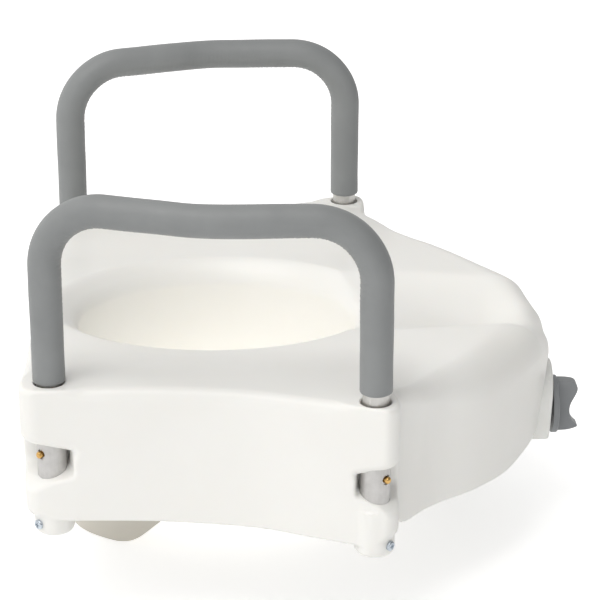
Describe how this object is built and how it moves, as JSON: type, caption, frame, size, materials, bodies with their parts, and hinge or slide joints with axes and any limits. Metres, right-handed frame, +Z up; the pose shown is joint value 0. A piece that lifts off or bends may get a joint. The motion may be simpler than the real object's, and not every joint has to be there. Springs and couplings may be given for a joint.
{
  "type": "raised toilet seat",
  "caption": "Moulded raised toilet seat with an oval opening, foam-covered lift-off arms on snap buttons, and a knob-driven clamp under its nose.",
  "frame": {"origin": "middle plane of the seat, midway between front and rear arm sockets, on the plane of the toilet's rim", "axes": "+Z up, the sitter faces -Y, +X is the sitter's left"},
  "size_m": [0.6028, 0.567, 0.4457],
  "materials": {
    "seat_plastic": "satin moulded white, fine grain",
    "guard_plastic": "satin moulded, warm white",
    "cap_plastic": "smooth moulded white",
    "grip_foam": "closed-cell foam, satin grey",
    "knob_plastic": "moulded grey",
    "jaw_plastic": "moulded white",
    "arm_metal": "drawn tube, anodised",
    "sleeve_metal": "drawn tube, matt",
    "button_brass": "turned and polished",
    "spring_steel": "rolled strip",
    "zinc_screw": "zinc plated",
    "screw_steel": "zinc plated, rolled thread",
    "pad_rubber": "matt rubber"
  },
  "bodies": {
    "seat": {"seat_shell": "seat_plastic", "splash_guard": "guard_plastic", "guard_screws": "zinc_screw", "rest_pads": "pad_rubber", "socket_sleeves": "sleeve_metal", "foot_caps": "cap_plastic", "foot_screws": "zinc_screw", "front_plate": "cap_plastic", "plate_screws": "zinc_screw"},
    "left_arm": {"left_arm_tube": "arm_metal", "left_arm_grip": "grip_foam", "left_rear_snap_spring": "spring_steel", "left_front_snap_spring": "spring_steel"},
    "right_arm": {"right_arm_tube": "arm_metal", "right_arm_grip": "grip_foam", "right_rear_snap_spring": "spring_steel", "right_front_snap_spring": "spring_steel"},
    "knob": {"clamp_knob": "knob_plastic", "clamp_screw": "screw_steel", "screw_collar": "screw_steel"},
    "jaw": {"clamp_jaw": "jaw_plastic", "jaw_nut": "screw_steel", "jaw_pad": "pad_rubber"},
    "left_rear_button": {"left_rear_snap_button": "button_brass"},
    "left_front_button": {"left_front_snap_button": "button_brass"},
    "right_rear_button": {"right_rear_snap_button": "button_brass"},
    "right_front_button": {"right_front_snap_button": "button_brass"}
  },
  "joints": [
    {"name": "left_arm_lift", "type": "slide", "parent": "seat", "child": "left_arm", "axis": [0, 0, 1], "range_m": [0, 0.15], "deforming": ["left_rear_snap_button", "left_front_snap_button"]},
    {"name": "right_arm_lift", "type": "slide", "parent": "seat", "child": "right_arm", "axis": [0, 0, 1], "range_m": [0, 0.15], "deforming": ["right_rear_snap_button", "right_front_snap_button"]},
    {"name": "left_rear_button_press", "type": "slide", "parent": "left_arm", "child": "left_rear_button", "axis": [-0.7071, -0.7071, 0], "range_m": [0, 0.006], "stiffness_N_per_m": 900, "springref_m": -0.004, "deforming": ["left_rear_snap_spring"]},
    {"name": "left_front_button_press", "type": "slide", "parent": "left_arm", "child": "left_front_button", "axis": [-0.7071, 0.7071, 0], "range_m": [0, 0.006], "stiffness_N_per_m": 900, "springref_m": -0.004, "deforming": ["left_front_snap_spring"]},
    {"name": "right_rear_button_press", "type": "slide", "parent": "right_arm", "child": "right_rear_button", "axis": [0.7071, -0.7071, 0], "range_m": [0, 0.006], "stiffness_N_per_m": 900, "springref_m": -0.004, "deforming": ["right_rear_snap_spring"]},
    {"name": "right_front_button_press", "type": "slide", "parent": "right_arm", "child": "right_front_button", "axis": [0.7071, 0.7071, 0], "range_m": [0, 0.006], "stiffness_N_per_m": 900, "springref_m": -0.004, "deforming": ["right_front_snap_spring"]},
    {"name": "knob_turn", "type": "hinge", "parent": "seat", "child": "knob", "pos_m": [0, -0.357, 0.0055], "axis": [0, 1, 0], "range_deg": [0, 2160]},
    {"name": "jaw_travel", "type": "slide", "parent": "seat", "child": "jaw", "axis": [0, -1, 0], "range_m": [0, 0.0181]}
  ],
  "couplings": [
    {"joint": "jaw_travel", "follows": "knob_turn", "m_per_rad": 0.00047746}
  ]
}
